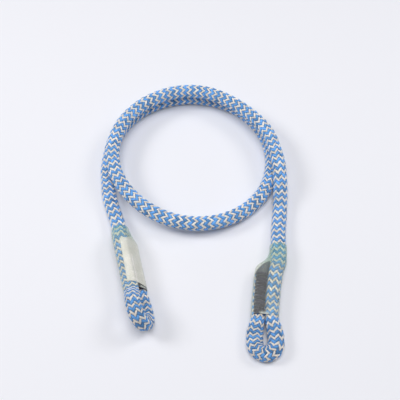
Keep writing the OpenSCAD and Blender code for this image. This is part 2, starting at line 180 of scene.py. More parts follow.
def through(points, per):
    """Cubic curve through the rows of points, per samples from one row to the next.

    Between two rows it is the Hermite cubic whose slopes are the difference of the two
    neighbours over the chord length between them.
    """
    p = np.asarray(points, float)
    flat = p.reshape(len(p), -1)
    step = np.linalg.norm(np.diff(flat[:, :3], axis=0), axis=1) + 1e-12
    x = running(step)
    slope = np.empty_like(flat)
    slope[1:-1] = (flat[2:] - flat[:-2]) / (x[2:] - x[:-2])[:, None]
    slope[0] = (flat[1] - flat[0]) / step[0]
    slope[-1] = (flat[-1] - flat[-2]) / step[-1]
    t = (np.arange(per) / per)[None, :, None]
    h = step[:, None, None]
    a, b = flat[:-1, None], flat[1:, None]
    va, vb = slope[:-1, None] * h, slope[1:, None] * h
    inner = (a * (2 * t**3 - 3 * t**2 + 1) + va * (t**3 - 2 * t**2 + t)
             + b * (3 * t**2 - 2 * t**3) + vb * (t**3 - t**2))
    out = np.concatenate([inner.reshape(-1, flat.shape[1]), flat[-1:]])
    return out.reshape((-1,) + p.shape[1:])


def coil_point(turn):
    """Circle whose radius follows COIL_RADII by the turn, climbing over its first pass."""
    def radius(x):
        v = np.asarray(COIL_RADII)
        x = np.asarray(x) * 8
        i = np.clip(np.floor(x).astype(int), 0, len(v) - 2)
        t = x - i
        b, c = v[i], v[i + 1]
        a = np.where(i > 0, v[np.maximum(i - 1, 0)], 2 * b - c)
        d = np.where(i + 2 < len(v), v[np.minimum(i + 2, len(v) - 1)], 2 * c - b)
        return b + t * ((c - a) + t * ((2 * a - 5 * b + 4 * c - d) + t * (3 * b - a - 3 * c + d))) / 2

    def lift(x):
        aside = radius(x) - radius(x - 1)
        return np.sqrt((ROPE_D + COIL_GAP) ** 2 - aside * aside)

    a, r = math.pi - 2 * math.pi * turn, radius(turn)
    climb = ease((turn - CLIMB_FROM) / (CLIMB_TO - CLIMB_FROM))
    z = REST_Z + np.where(turn < 1, climb * lift(np.ones(1)), lift(np.maximum(turn, 1)))
    return np.stack([COIL_CENTRE[0] + r * np.cos(a), COIL_CENTRE[1] + r * np.sin(a), z], -1)


class End:
    """One sewn end of the rope: u is the distance past the mouth of its sleeve."""

    def __init__(self, facts, neck, reach):
        (self.tail, self.headings, self.rolls, self.side, self.gap, self.slant, self.film,
         self.groove) = facts
        self.neck, self.reach = np.asarray(neck), np.asarray(reach)
        self.half = (ROPE_D + self.gap) / 2
        self.tip = EYE_LEN - ROPE_R - self.half
        h = math.radians((self.headings[0] + self.headings[1]) / 2)
        self.mouth = (self.tail[0] + SEWN_LEN * math.sin(h), self.tail[1] - SEWN_LEN * math.cos(h))

    def heading(self, u):
        a, b, c = self.headings
        return np.where(u < 0, mix(b, a, -u / SEWN_LEN), mix(b, c, ease(u / EYE_SPREAD)))

    def roll(self, u):
        return np.radians(mix(self.rolls[0], self.rolls[1], ease(u / EYE_SPREAD)))

    def along(self, u):
        h = np.radians(self.heading(u))
        return np.stack([np.sin(h), -np.cos(h), 0 * h], -1)

    def plan(self, u):
        h = np.radians(self.heading(u))
        return self.side * np.stack([np.cos(h), np.sin(h), 0 * h], -1)

    def across(self, u):
        """From the tail strand to the main strand."""
        r = self.roll(u)[..., None]
        return np.cos(r) * self.plan(u) + np.sin(r) * UP

    def face(self, u):
        """Square to the face of the eye."""
        r = self.roll(u)[..., None]
        return np.cos(r) * UP - np.sin(r) * self.plan(u)

    def grip(self, u):
        return np.where(u > 0, 1 - ease(u / RELAX_LEN), mix(1, TAIL_GRIP, ease(-2 * u / SEWN_LEN - 1)))

    def width(self, u):
        return mix(ROPE_D, SEWN_W, self.grip(u))

    def height(self, u):
        return mix(ROPE_D, SEWN_H, self.grip(u))

    def half_spacing(self, u):
        return np.where(u <= 0, (self.width(u) + SEAM_GAP) / 2,
                        mix((SEWN_W + SEAM_GAP) / 2, self.half, ease(u / EYE_SPREAD)))

    def axis(self, u):
        """Middle between the two strands: on its sleeve, then easing down to the floor."""
        def rest(v):
            return np.hypot((self.width(v) / 2 + JACKET) * np.sin(self.roll(v)),
                            (self.height(v) / 2 + JACKET) * np.cos(self.roll(v)))
        h = np.radians(np.where(u < 0, (self.headings[1] + self.heading(u)) / 2, self.headings[2]))
        z = np.where(u <= 0, rest(u), mix(rest(0 * u), REST_Z, ease(u / EYE_SPREAD)))
        z = z + self.half_spacing(u) * np.sin(self.roll(u))
        return np.stack([self.mouth[0] + u * np.sin(h), self.mouth[1] - u * np.cos(h), z], -1)

    def strand(self, u, side):
        return self.axis(u) + side * self.half_spacing(u)[..., None] * self.across(u)

    def stations(self):
        """Rows of centre, width, height, across and face, from the cut tail round the eye."""
        u = np.concatenate([-SEWN_LEN * (1 - np.arange(SEWN_STEPS + 1) / SEWN_STEPS),
                            self.tip * np.arange(1, EYE_STEPS + 1) / EYE_STEPS])
        turn = math.pi * np.arange(1, TIP_STEPS)[:, None] / TIP_STEPS
        far = np.full(TIP_STEPS - 1, EYE_LEN)
        bend = self.axis(np.array([self.tip])) + self.half * (
            np.sin(turn) * self.along(far) - np.cos(turn) * self.across(far))
        centres = np.concatenate([self.strand(u, -1), bend, self.strand(u[::-1], 1)])
        us = np.concatenate([u, far, u[::-1]])
        return np.concatenate([centres, self.width(us)[:, None] / ROPE_D, self.height(us)[:, None] / ROPE_D,
                               self.across(us), self.face(us)], 1)


def plain(points):
    """Rows as End.stations gives them, for a rope that is round."""
    p = np.asarray(points, float)
    return np.concatenate([p, np.ones((len(p), 2)), np.tile([1.0, 0, 0], (len(p), 1)),
                           np.tile(UP, (len(p), 1))], 1)


class Route:
    """The whole rope from the left tail to the right one, as arrays over its length."""

    def __init__(self):
        self.left, self.right = (End(LEFT_END, LEFT_NECK, LEFT_REACH),
                                 End(RIGHT_END, RIGHT_NECK, RIGHT_REACH))
        left, right = self.left.stations(), self.right.stations()
        coil = coil_point(np.arange(round(COIL_TURNS * COIL_STEPS) + 1) / COIL_STEPS)
        fine = coil_point(np.array([0, 0.01, COIL_TURNS - 0.01, COIL_TURNS]))
        head, tail = unit(fine[0] - fine[1]), unit(fine[3] - fine[2])
        coil = np.concatenate([[coil[0] + ROPE_D * head * [1, 1, 0]], coil,
                               [coil[-1] + ROPE_D * tail * [1, 1, 0]]])
        rows = np.concatenate([left, plain(LEFT_NECK), plain(LEFT_LEG), plain(coil),
                               plain(RIGHT_LEG[::-1]), plain(RIGHT_NECK[::-1]), right[::-1]])
        # Samples where the sewing ends and where the rope leaves its sleeve
        sewn, sewn_right = (len(left) - 1) * FINE, (len(rows) - len(right)) * FINE
        neck, neck_right = sewn + len(LEFT_NECK) * FINE, sewn_right - len(RIGHT_NECK) * FINE
        self.places = places = through(rows[:, :3], FINE)
        at, index = np.arange(len(places)) / FINE, np.arange(len(rows))
        self.rest = np.stack([np.interp(at, index, rows[:, k]) for k in range(3, 11)], 1)
        # A round section keeps its ways of squeeze from the nearest sewn strand
        self.rest[sewn + 1:neck, 2:] = rows[len(left) - 1, 5:]
        self.rest[neck_right:sewn_right, 2:] = rows[-len(right), 5:]
        step = np.linalg.norm(np.diff(places, axis=0), axis=1)
        self.s = running(step)
        self.length = self.s[-1]
        self.s_left, self.s_right = self.s[neck], self.s[neck_right]
        self.tangents = unit(np.gradient(places, self.s, axis=0))
        self.normals = np.empty_like(places)
        start = neck + (len(LEFT_LEG) + 1) * FINE
        self.normals[start] = square_to(UP, self.tangents[start])
        for i in range(start + 1, len(places)):
            self.normals[i] = square_to(self.normals[i - 1], self.tangents[i])
        for i in range(start - 1, -1, -1):
            self.normals[i] = square_to(self.normals[i + 1], self.tangents[i])
        self.sides = np.cross(self.tangents, self.normals)
        # Rows of the braid crowd and spread: rows is the running sum of their crowding
        crowd = (np.interp(self.s * 1000, *LEFT_CROWD)
                 * np.interp((self.length - self.s) * 1000, *RIGHT_CROWD)
                 * (1 + CROWD_SWAY * np.sin(self.s * 2 * math.pi / CROWD_WAVE + 1)))
        self.rows = running(step * (crowd[1:] + crowd[:-1]) / 2)
        # Up its sewn length, the right main strand takes back more and more of its width
        main = np.arange(neck_right, sewn_right + (SEWN_STEPS + EYE_STEPS) * FINE)
        up = 1 - np.clip((main - sewn_right) / (SEWN_STEPS * FINE), 0, 1)
        self.rest[main, 0] = 1 - (1 - self.rest[main, 0]) * (GRIP_KEPT - GRIP_LOST * up)
        # Inside an eye the rope swells towards the middle by half of the clear width there
        self.inward, self.swell = np.zeros_like(places), np.zeros((len(places), 1))
        for end, k in (self.left, slice(0, neck)), (self.right, slice(neck_right, None)):
            (a, b), part = end.axis(np.array([0.0, end.tip])), places[k]
            along = (part - a) @ (b - a)
            on = a + np.clip(along / ((b - a) @ (b - a)), 0, 1)[:, None] * (b - a)
            far = np.linalg.norm(on - part, axis=1)
            room = np.clip(0.5 * (far - (SEWN_W + SEAM_GAP) / 2 - SWELL_FROM), 0, EYE_SWELL)
            self.inward[k] = (on - part) / far[:, None]
            self.swell[k, 0] = room * ((np.linalg.norm(part - a, axis=1) < EYE_LEN) & (along > 0))

    def take(self, values, s):
        """Rows of values at the distances s, straight between samples."""
        x = np.clip(np.interp(s, self.s, np.arange(len(self.s))), 0, len(self.s) - 1.000001)
        i = x.astype(int)
        t = (x - i)[..., None]
        return values[i] * (1 - t) + values[i + 1] * t

    def offset(self, s, x, y):
        """x along the side and y along the normal, squeezed where stitches grip the rope.

        Over the last station of a tail it leans along the rope by the slant of the cut.
        """
        w = x[..., None] * self.take(self.sides, s) + y[..., None] * self.take(self.normals, s)
        grip, t = self.take(self.rest, s), self.take(self.tangents, s)
        q, m = square_to(grip[..., 2:5], t), square_to(grip[..., 5:8], t)
        last = SEWN_LEN / SEWN_STEPS
        lean = (self.right.slant * np.clip(1 - (self.length - s) / last, 0, 1)
                - self.left.slant * np.clip(1 - s / last, 0, 1))[..., None] * grip[..., 0:1]
        inside = self.take(self.inward, s)
        bulge = self.take(self.swell, s) * np.maximum(dot(w, inside), 0) / ROPE_R
        return (w + bulge * inside + (grip[..., 0:1] - 1) * dot(w, q) * q
                + (grip[..., 1:2] - 1) * dot(w, m) * m + lean * dot(w, q) * t)

    def skin(self, s, around, r):
        """Point at distance s, angle around and radius r, pressed flat where it lies."""
        p = self.take(self.places, s) + self.offset(s, r * np.cos(around), r * np.sin(around))
        p[..., 2] = pressed(p[..., 2])
        return p


def pressed(z, soft=0.00028, low=0.00004):
    """Height over the floor: soft times ln(1 + e to the z over soft), so never below it."""
    return low + soft * np.logaddexp(0, np.asarray(z) / soft)


ROUTE = Route()
SIDES = ("left", ROUTE.left), ("right", ROUTE.right)


# ---- meshes ----
def placed(name, data):
    """A new object in the scene's collection."""
    obj = bpy.data.objects.new(name, data)
    bpy.context.scene.collection.objects.link(obj)
    return obj


def new_piece(name, points, faces, slot, materials, kinds=None, uv=None, layers=None):
    """A mesh object from arrays: faces is a list of blocks, each of faces with as many corners."""
    mesh = bpy.data.meshes.new(name)
    sizes = np.concatenate([np.full(len(f), f.shape[1]) for f in faces])
    corners = np.concatenate([f.ravel() for f in faces]).astype(np.int32)
    mesh.vertices.add(len(points))
    mesh.vertices.foreach_set("co", np.asarray(points, np.float32).ravel())
    mesh.loops.add(len(corners))
    mesh.loops.foreach_set("vertex_index", corners)
    mesh.polygons.add(len(sizes))
    mesh.polygons.foreach_set("loop_start", running(sizes[:-1]).astype(np.int32))
    for m in materials:
        mesh.materials.append(m)
    if kinds is not None:
        mesh.polygons.foreach_set("material_index", np.asarray(kinds, np.int32))
    mesh.update(calc_edges=True)
    if uv is not None:
        layer = mesh.uv_layers.new(name="UVMap")
        layer.uv.foreach_set("vector", np.asarray(uv, np.float32)[corners].ravel())
    for key, values in (layers or {}).items():
        layer = mesh.attributes.new(key, "FLOAT", "POINT")
        layer.data.foreach_set("value", np.asarray(values, np.float32))
    mesh.polygons.foreach_set("use_smooth", np.full(len(sizes), True))
    if mesh.validate(verbose=False):
        raise RuntimeError(f"{name} has faces that Blender can't keep")
    obj = placed(name, mesh)
    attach(obj, "root")
    return obj


def grid_faces(rows, columns, round_=True, start=0):
    """Quads of a grid of points, row by row; round_ closes each row on itself."""
    k = np.arange(rows - 1)[:, None]
    j = np.arange(columns if round_ else columns - 1)[None, :]
    a, b = k * columns + j, k * columns + (j + 1) % columns
    return start + np.stack([a, b, b + columns, a + columns], -1).reshape(-1, 4)


def outward(points, faces):
    """The blocks of faces turned round if the volume they enclose comes out negative."""
    volume = 0.0
    for f in faces:
        for k in range(1, f.shape[1] - 1):
            a, b, c = points[f[:, 0]], points[f[:, k]], points[f[:, k + 1]]
            volume += (a * np.cross(b, c)).sum()
    return [f[:, ::-1] for f in faces] if volume < 0 else faces


def tube(rings):
    """Points and faces of a closed solid through rings: its sides, then a fan at each end."""
    m, n = rings.shape[:2]
    points = np.concatenate([rings.reshape(-1, 3), rings[:1].mean(1), rings[-1:].mean(1)])
    j = np.arange(n)
    first = np.stack([np.full(n, m * n), (j + 1) % n, j], -1)
    last = np.stack([np.full(n, m * n + 1), (m - 1) * n + j, (m - 1) * n + (j + 1) % n], -1)
    sides, *fans = outward(points, [grid_faces(m, n), first, last])
    return points, [sides, np.concatenate(fans)]


def ended(*values):
    """Values over a tube's rings, one column for each, with zeros for the middles of its ends."""
    v = np.stack(np.broadcast_arrays(*values), -1).reshape(-1, len(values))
    return np.concatenate([v, np.zeros((2, len(values)))])


# ---- materials ----
class Nodes:
    """Short ways to add and link nodes in one tree."""

    def __init__(self, tree):
        self.tree = tree

    def feed(self, socket, value):
        """Link the value to the socket if it is one itself, or else set it there."""
        if isinstance(value, bpy.types.NodeSocket):
            self.tree.links.new(value, socket)
        else:
            socket.default_value = value

    def add(self, kind, **values):
        """A node with its settings, and its inputs by number or name after in_."""
        node = self.tree.nodes.new(kind)
        for key, value in values.items():
            if key.startswith("in_"):
                name = key[3:]
                self.feed(node.inputs[int(name) if name.isdigit() else name.replace("_", " ")], value)
            else:
                setattr(node, key, value)
        return node

    def math(self, operation, *values):
        node = self.add("ShaderNodeMath", operation=operation)
        for socket, value in zip(node.inputs, values):
            self.feed(socket, value)
        return node.outputs[0]

    def noise(self, place, scale, detail):
        return self.add("ShaderNodeTexNoise", in_Vector=place, in_Scale=scale, in_Detail=detail).outputs[0]

    def layer(self, name):
        return self.add("ShaderNodeAttribute", attribute_name=name).outputs["Fac"]

    def blend(self, factor, a, b):
        return self.add("ShaderNodeMix", data_type="RGBA", in_0=factor, in_6=a, in_7=b).outputs[2]

    def seen(self):
        """1 for a ray that shows a surface, 0 for one that only carries its light."""
        ray = self.add("ShaderNodeLightPath").outputs
        return self.math("MAXIMUM", self.math("MAXIMUM", ray["Is Camera Ray"], ray["Is Glossy Ray"]),
                         ray["Is Transmission Ray"])

    def either(self, factor, first, second, output="Material Output"):
        """Show the first shader where factor is 0 and the second where it is 1."""
        both = self.add("ShaderNodeMixShader", in_0=factor, in_1=first.outputs[0], in_2=second.outputs[0])
        self.tree.links.new(both.outputs[0], self.tree.nodes[output].inputs["Surface"])


def group(name, inputs, outputs, fill):
    """A shader node group, built once: fill puts its nodes between the named sockets."""
    tree = bpy.data.node_groups.get(name)
    if tree is None:
        tree = bpy.data.node_groups.new(name, "ShaderNodeTree")
        for title, kind, value in inputs:
            socket = tree.interface.new_socket(title, in_out="INPUT", socket_type="NodeSocket" + kind)
            if value is not None:
                socket.default_value = value
        for title, kind in outputs:
            tree.interface.new_socket(title, in_out="OUTPUT", socket_type="NodeSocket" + kind)
        n = Nodes(tree)
        fill(n, n.add("NodeGroupInput").outputs, n.add("NodeGroupOutput").inputs)
    return tree


def fibre_group():
    """Fine parallel filaments of a yarn, from its UV: x along and y across, in metres.

    Height is a sine across the yarn, bent by noise; Colour is painted darker towards the edge of
    the yarn and between filaments, as painted shade, and shifts a little from one yarn to the next.
    """
    def fill(n, i, o):
        split = n.add("ShaderNodeSeparateXYZ", in_0=i["UV"]).outputs
        bend = n.noise(i["UV"], 900.0, 2.0)
        lay = n.math("ADD", n.math("MULTIPLY", split[1], i["Filaments per Metre"]),
                     n.math("MULTIPLY", split[0], i["Lay"]))
        lay = n.math("ADD", lay, n.math("MULTIPLY", bend, 9.0))
        wave = n.math("MULTIPLY_ADD", n.math("SINE", lay), 0.5, 0.5)
        spots = n.noise(i["Place"], 260.0, 4.0)
        # Painted shade: towards the Shade colour at the yarn's edges, where Crown is low, and between filaments
        edge = n.math("MULTIPLY", n.math("SUBTRACT", 1.0, i["Crown"]), i["Edge Dark"])
        dark = n.math("ADD", edge, n.math("MULTIPLY", n.math("SUBTRACT", 1.0, wave), 0.10))
        colour = n.blend(n.math("MINIMUM", dark, 1.0), i["Colour"], i["Shade"])
        value = n.math("ADD", n.math("MULTIPLY", i["Tone"], i["Tone Spread"]),
                       n.math("MULTIPLY", n.math("SUBTRACT", spots, 0.5), 0.22))
        value = n.math("ADD", 1.0, value)
        n.feed(o["Colour"], n.add("ShaderNodeHueSaturation", in_Color=colour, in_Value=value).outputs[0])
        n.feed(o["Roughness"], n.math("MULTIPLY_ADD", spots, 0.16, i["Roughness"]))
        n.feed(o["Height"], wave)

    return group("Yarn Filaments", [
        ("UV", "Vector", None), ("Place", "Vector", None), ("Colour", "Color", (0.5, 0.5, 0.5, 1)),
        ("Shade", "Color", (0.1, 0.1, 0.1, 1)), ("Crown", "Float", 1.0), ("Tone", "Float", 0.0),
        ("Tone Spread", "Float", 0.1), ("Edge Dark", "Float", 0.6), ("Roughness", "Float", 0.7),
        ("Filaments per Metre", "Float", 42000.0), ("Lay", "Float", 4000.0)],
        [("Colour", "Color"), ("Roughness", "Float"), ("Height", "Float")], fill)


def wear_group():
    """Dust and handling marks: two noises of different size over the piece's own place."""
    def fill(n, i, o):
        big = n.noise(i["Place"], i["Scale"], 5.0)
        small = n.noise(i["Place"], n.math("MULTIPLY", i["Scale"], 9.0), 3.0)
        both = n.math("MULTIPLY_ADD", small, 0.35, n.math("MULTIPLY", big, 0.65))
        mask = n.add("ShaderNodeMapRange", in_0=both, in_1=0.42, in_2=0.62).outputs[0]
        mask = n.math("MULTIPLY", mask, i["Amount"])
        n.feed(o["Mask"], mask)
        n.feed(o["Colour"], n.blend(mask, i["Colour"], i["Dust"]))
        n.feed(o["Height"], small)

    return group("Handling Wear", [
        ("Place", "Vector", None), ("Colour", "Color", (0.5, 0.5, 0.5, 1)),
        ("Dust", "Color", (0.6, 0.58, 0.54, 1)), ("Scale", "Float", 60.0), ("Amount", "Float", 0.2)],
        [("Colour", "Color"), ("Mask", "Float"), ("Height", "Float")], fill)


def material(name):
    """A new node material, short ways into its nodes, its Principled BSDF and its own place."""
    made = bpy.data.materials.new(name)
    made.use_nodes = True
    n = Nodes(made.node_tree)
    return made, n, made.node_tree.nodes["Principled BSDF"], n.add("ShaderNodeTexCoord").outputs["Object"]


def yarn(name, colour, shade, rough, spread, edge, sheen, filaments=42000.0, lay=4000.0, relief=0.00006):
    """Yarn of parallel filaments, with the sheen of polyamide; shade is the colour painted into its edges as painted
    shade.
    """
    made, n, shader, place = material(name)
    fibres = n.add("ShaderNodeGroup", node_tree=fibre_group(), in_Place=place, in_Colour=(*colour, 1),
                   in_UV=n.add("ShaderNodeUVMap", uv_map="UVMap").outputs[0], in_Shade=(*shade, 1),
                   in_Crown=n.layer("crown"), in_Tone=n.layer("tone"), in_Tone_Spread=spread,
                   in_Edge_Dark=edge, in_Roughness=rough, in_Filaments_per_Metre=filaments,
                   in_Lay=lay).outputs
    bump = n.add("ShaderNodeBump", in_Height=fibres["Height"], in_Distance=relief, in_Strength=0.6)
    for key, value in (("Base Color", fibres["Colour"]), ("Roughness", fibres["Roughness"]),
                       ("Normal", bump.outputs[0]), ("Sheen Weight", sheen), ("Sheen Roughness", 0.4),
                       ("Specular IOR Level", 0.3)):
        n.feed(shader.inputs[key], value)
    return made


def worn(name, colour, dust, scale, amount, relief, strength, marked, rough, finish=None):
    """A plain colour with dust and handling marks, which also change its roughness."""
    made, n, shader, place = material(name)
    wear = n.add("ShaderNodeGroup", node_tree=wear_group(), in_Place=place, in_Colour=(*colour, 1),
                 in_Dust=(*dust, 1), in_Scale=scale, in_Amount=amount).outputs
    bump = n.add("ShaderNodeBump", in_Height=wear["Height"], in_Distance=relief, in_Strength=strength)
    n.feed(shader.inputs["Base Color"], wear["Colour"])
    n.feed(shader.inputs["Normal"], bump.outputs[0])
    n.feed(shader.inputs["Roughness"], n.math("MULTIPLY_ADD", wear["Mask"], marked, rough))
    if finish:
        finish(n, shader, wear)
    return made


def clear(n, shader, wear):
    """Let light through, with haze at the rim, on marks, where it shrank and between the strands at its mouth."""
    shrunk, tint = n.layer("shrunk"), bpy.context.scene.lanyard_colours.film_shrunk
    n.feed(shader.inputs["Base Color"], n.blend(shrunk, wear["Colour"], (*tint, 1)))
    passing = n.add("ShaderNodeBsdfTransparent", in_Color=(0.976, 0.982, 0.955, 1))
    rim = n.add("ShaderNodeLayerWeight", in_Blend=0.25).outputs["Facing"]
    haze = n.math("MULTIPLY_ADD", rim, 0.12, n.math("MULTIPLY_ADD", wear["Mask"], 0.04, 0.045))
    haze = n.math("MULTIPLY_ADD", shrunk, 0.09, haze)
    n.either(n.math("MULTIPLY_ADD", n.layer("mouth_haze"), 0.55, haze), passing, shader)


def once(name, make, *looks, **more):
    """The material of that name, made the first time that it is asked for."""
    return bpy.data.materials.get(name) or make(name, *looks, **more)


def yarn_materials():
    c = bpy.context.scene.lanyard_colours
    # Roughness, spread of tone, how strongly the edges are painted with the shade colour as painted shade, and sheen
    return [once("blue_yarn", yarn, c.blue, c.blue_painted_shade, rough=0.62, spread=0.14, edge=0.80, sheen=0.25),
            once("cream_yarn", yarn, c.cream, c.cream_painted_shade, rough=0.66, spread=0.07, edge=0.30, sheen=0.2),
            # The lining stands for the braid between the floats, painted near black as the shade there
            once("painted_shade_lining", yarn, c.under, c.under, rough=0.85, spread=0.05, edge=0.0, sheen=0.0)]


# ---- braid ----
def braid(first, final, s):
    """Floats of the braid whose middle lies from first to final along the rope.

    Columns run along the rope and slope to alternate sides. Float (c, r) has its middle at
    (2 c + 1/2) crossings round the rope and (2 r + or - 1/2) crossings along it. Along a
    float its middle line dips at both ends, where the next column crosses it, and across
    it is a flattened ellipse. Returns points, the sides and ends of the floats, the kinds
    of both, UV, crown and tone.
    """
    rng = np.random.default_rng(11)
    pitch = s.row_pitch / 2                      # one crossing along the rope
    cross = math.pi / s.columns                  # one crossing round it, as an angle
    girth = ROPE_R * cross
    norm = math.hypot(girth, pitch)
    along_u, along_v = girth / norm, pitch / norm
    c = np.arange(s.columns)
    slope = np.where(c % 2 == 0, 1.0, -1.0)
    start, stop = np.interp([first, final], ROUTE.s, ROUTE.rows)
    r = np.arange(math.floor(start / (2 * pitch)) - 1, math.ceil(stop / (2 * pitch)) + 2)[:, None]
    high = (2 * r + 0.5 * slope) * pitch
    keep = (high >= start) & (high < stop)
    # Middle, slope and colour of every float, then what differs over its stations and its section
    u, v, g, blue = (np.broadcast_to(x, high.shape)[keep][:, None, None]
                     for x in ((2 * c + 0.5) * cross, high, slope, r % 2 == 0))
    a = np.array([-1, -0.62, 0, 0.62, 1])[:, None]
    wide = np.array([0.40, 0.90, 1, 0.90, 0.40])[:, None]
    middle = np.array([-0.42, -0.05, 0.12, -0.05, -0.42])[:, None] * 0.001
    thick = np.array([0.14, 0.40, 0.48, 0.40, 0.14])[:, None] * 0.001 * s.relief
    b = np.array([-1, -0.58, 0, 0.58, 1, 0])
    tall = np.array([-0.2, 0.74, 1, 0.74, -0.2, -1])
    crown = np.array([0.0, 0.75, 1, 0.75, 0.0, 0.0])
    half = np.where(blue, s.blue_width, s.cream_width) / 2 * (1 + 0.05 * rng.standard_normal(u.shape))
    reach = 1.36 * (1 + 0.03 * rng.standard_normal(u.shape))
    step, over = a * reach * norm, b * wide * half
    swell = np.where(blue, 1.16, 0.92) * (1 + 0.05 * rng.standard_normal(u.shape))
    around = u + g * (step * along_u - over * along_v) / ROPE_R + s.turn
    dist = np.interp(v + (step * along_v + over * along_u), ROUTE.rows, ROUTE.s)
    points = ROUTE.skin(dist, around, s.crown_radius - FLOAT_DEPTH + middle + thick * tall * swell)
    base = (np.arange(len(u)) * a.size * b.size)[:, None]
    quads = (base[:, :, None] + grid_faces(a.size, b.size)).reshape(-1, 4)
    ends = np.concatenate([base + np.arange(b.size)[::-1], base + (a.size - 1) * b.size + np.arange(b.size)])
    kinds = np.where(blue, 0, 1).ravel()
    shift = rng.random(u.shape) * 0.05
    uv = np.stack(np.broadcast_arrays(step + shift, over + shift), -1).reshape(-1, 2)
    # Painted shade: crown falls to 0 at the edges and under each float and towards its ends, where it is painted
    # darker
    crowns = np.broadcast_to(crown * (1 - 0.75 * np.abs(a) ** 3), dist.shape)
    # Inside the eyes the yarns are a little darker
    eye_darkening = ease(ROUTE.take(ROUTE.swell, dist)[..., 0] / 0.0004)
    tones = rng.standard_normal(u.shape) - 1.3 * eye_darkening
    return (points.reshape(-1, 3), quads, ends, np.repeat(kinds, (a.size - 1) * b.size), np.tile(kinds, 2),
            uv, crowns.ravel(), tones.ravel())


def braided(name, first, final, sizes):
    """One stretch of the sheath: its floats over a lining, a plain tube painted near black as the shade between
    them, as one mesh.
    """
    points, quads, ends, kinds, end_kinds, uv, crowns, tones = braid(first, final, sizes)
    s, a = rounds(first + 1e-5, final - 1e-5, max(8, round((final - first) / 0.003)), 12)
    lining, (sides, fans) = tube(ROUTE.skin(s, a, np.full(s.shape, sizes.crown_radius - LINING_DEPTH)))
    sides, fans, n = sides + len(points), fans + len(points), len(lining)
    p, q, r, t = (points[quads[:, k]] for k in range(4))
    if (p * np.cross(q, r)).sum() + (p * np.cross(r, t)).sum() < 0:
        quads, ends = quads[:, ::-1], ends[:, ::-1]
    kinds = np.concatenate([kinds, np.full(len(sides), 2), end_kinds, np.full(len(fans), 2)])
    return new_piece(name, np.concatenate([points, lining]), [np.concatenate([quads, sides]), ends, fans], "sheath",
                     yarn_materials(), kinds, np.concatenate([uv, np.zeros((n, 2))]),
                     {"crown": np.append(crowns, np.zeros(n)), "tone": np.append(tones, np.zeros(n))})


# ---- sizes and colours that a user would change ----
def length(name, text, value):
    """A length property, in metres."""
    return bpy.props.FloatProperty(name=name, description=text, default=value, unit="LENGTH", precision=5)


def colour(name, text, value):
    """A colour property, as a linear value from 0 to 1."""
    return bpy.props.FloatVectorProperty(name=name, description=text, default=value, subtype="COLOR", min=0, max=1)


class LanyardSizes(bpy.types.PropertyGroup):
    columns: bpy.props.IntProperty(name="Columns", description="Columns of floats round the rope, an even number",
                                   default=12, min=8, max=24)
    row_pitch: length("Row Pitch", "Distance from one row of floats to the next", 0.00268)
    blue_width: length("Blue Width", "Width of a blue float", 0.00225)
    cream_width: length("Cream Width", "Width of a cream float", 0.00165)
    crown_radius: length("Crown Radius", "Radius of the rope over the floats", 0.00515)
    relief: bpy.props.FloatProperty(name="Relief", description="Share of the full thickness of a float", default=1.0)
    turn: bpy.props.FloatProperty(name="Turn", description="Turn of the braid about the rope", default=0.0,
                                  subtype="ANGLE")


class LanyardColours(bpy.types.PropertyGroup):
    blue: colour("Blue Yarn", "Blue yarn of the sheath", (0.172, 0.465, 0.945))
    # Painted shade: the blue yarn's colour at its edges, between its neighbours
    blue_painted_shade: colour("Blue Painted Shade", "Blue yarn between its neighbours", (0.050, 0.160, 0.420))
    cream: colour("Cream Yarn", "Cream yarn of the sheath", (0.990, 0.920, 0.845))
    # Painted shade: the cream yarn's colour at its edges, between its neighbours
    cream_painted_shade: colour("Cream Painted Shade", "Cream yarn between its neighbours", (0.620, 0.560, 0.490))
    # Painted shade: the lining's near-black colour stands for the shade seen between the floats
    under: colour("Painted Shade Lining", "Sheath seen between the floats", (0.05, 0.08, 0.15))
    core: colour("Core Strand", "Twisted strands of the core", (0.82, 0.81, 0.77))
    thread: colour("Thread", "Sewing thread", (0.027, 0.021, 0.050))
    film: colour("Clear Sleeve", "Tint of the shrink sleeves", (0.76, 0.79, 0.72))
    film_shrunk: colour("Shrunk Sleeve", "Tint of a sleeve where it has shrunk most", (0.36, 0.64, 0.54))
    label: colour("Label", "Face of the label", (0.930, 0.882, 0.910))
    melted: colour("Melted End", "Melted yarn of a cut tail", (0.065, 0.070, 0.095))
    floor: colour("Floor", "Floor and backdrop", (0.878, 0.880, 0.925))


class LANYARD_OT_camera(bpy.types.Operator):
    """Put the camera at its place over the front of the lanyard"""
    bl_idname = "lanyard.camera"
    bl_label = "Camera"

    def execute(self, context):
        data = bpy.data.cameras.new("camera")
        data.lens, data.sensor_width = LENS, 36.0
        data.clip_start, data.clip_end = 0.01, 20
        camera = placed("camera", data)
        camera.location = CAMERA_AT
        camera.rotation_euler = (Vector(CAMERA_TO) - camera.location).to_track_quat("-Z", "Y").to_euler()
        context.scene.camera = camera
        return {"FINISHED"}


class LANYARD_OT_rope(bpy.types.Operator):
    """Braid the free rope, from one sleeve round the coil to the other"""
    bl_idname = "lanyard.rope"
    bl_label = "Free Rope"

    def execute(self, context):
        first, final = ROUTE.s_left, ROUTE.s_right
        rope = braided("rope", first, final, context.scene.lanyard_sizes)
        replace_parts(rope, "sheath_left_leg", "sheath_coil", "sheath_right_leg")
        return {"FINISHED"}


class LANYARD_OT_eyes(bpy.types.Operator):
    """Braid the rope of the two sewn eyes"""
    bl_idname = "lanyard.eyes"
    bl_label = "Eyes"

    def execute(self, context):
        s = context.scene.lanyard_sizes
        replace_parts(braided("rope_left_eye", 0.0, ROUTE.s_left, s), "sheath_left_eye")
        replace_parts(braided("rope_right_eye", ROUTE.s_right, ROUTE.length, s), "sheath_right_eye")
        return {"FINISHED"}


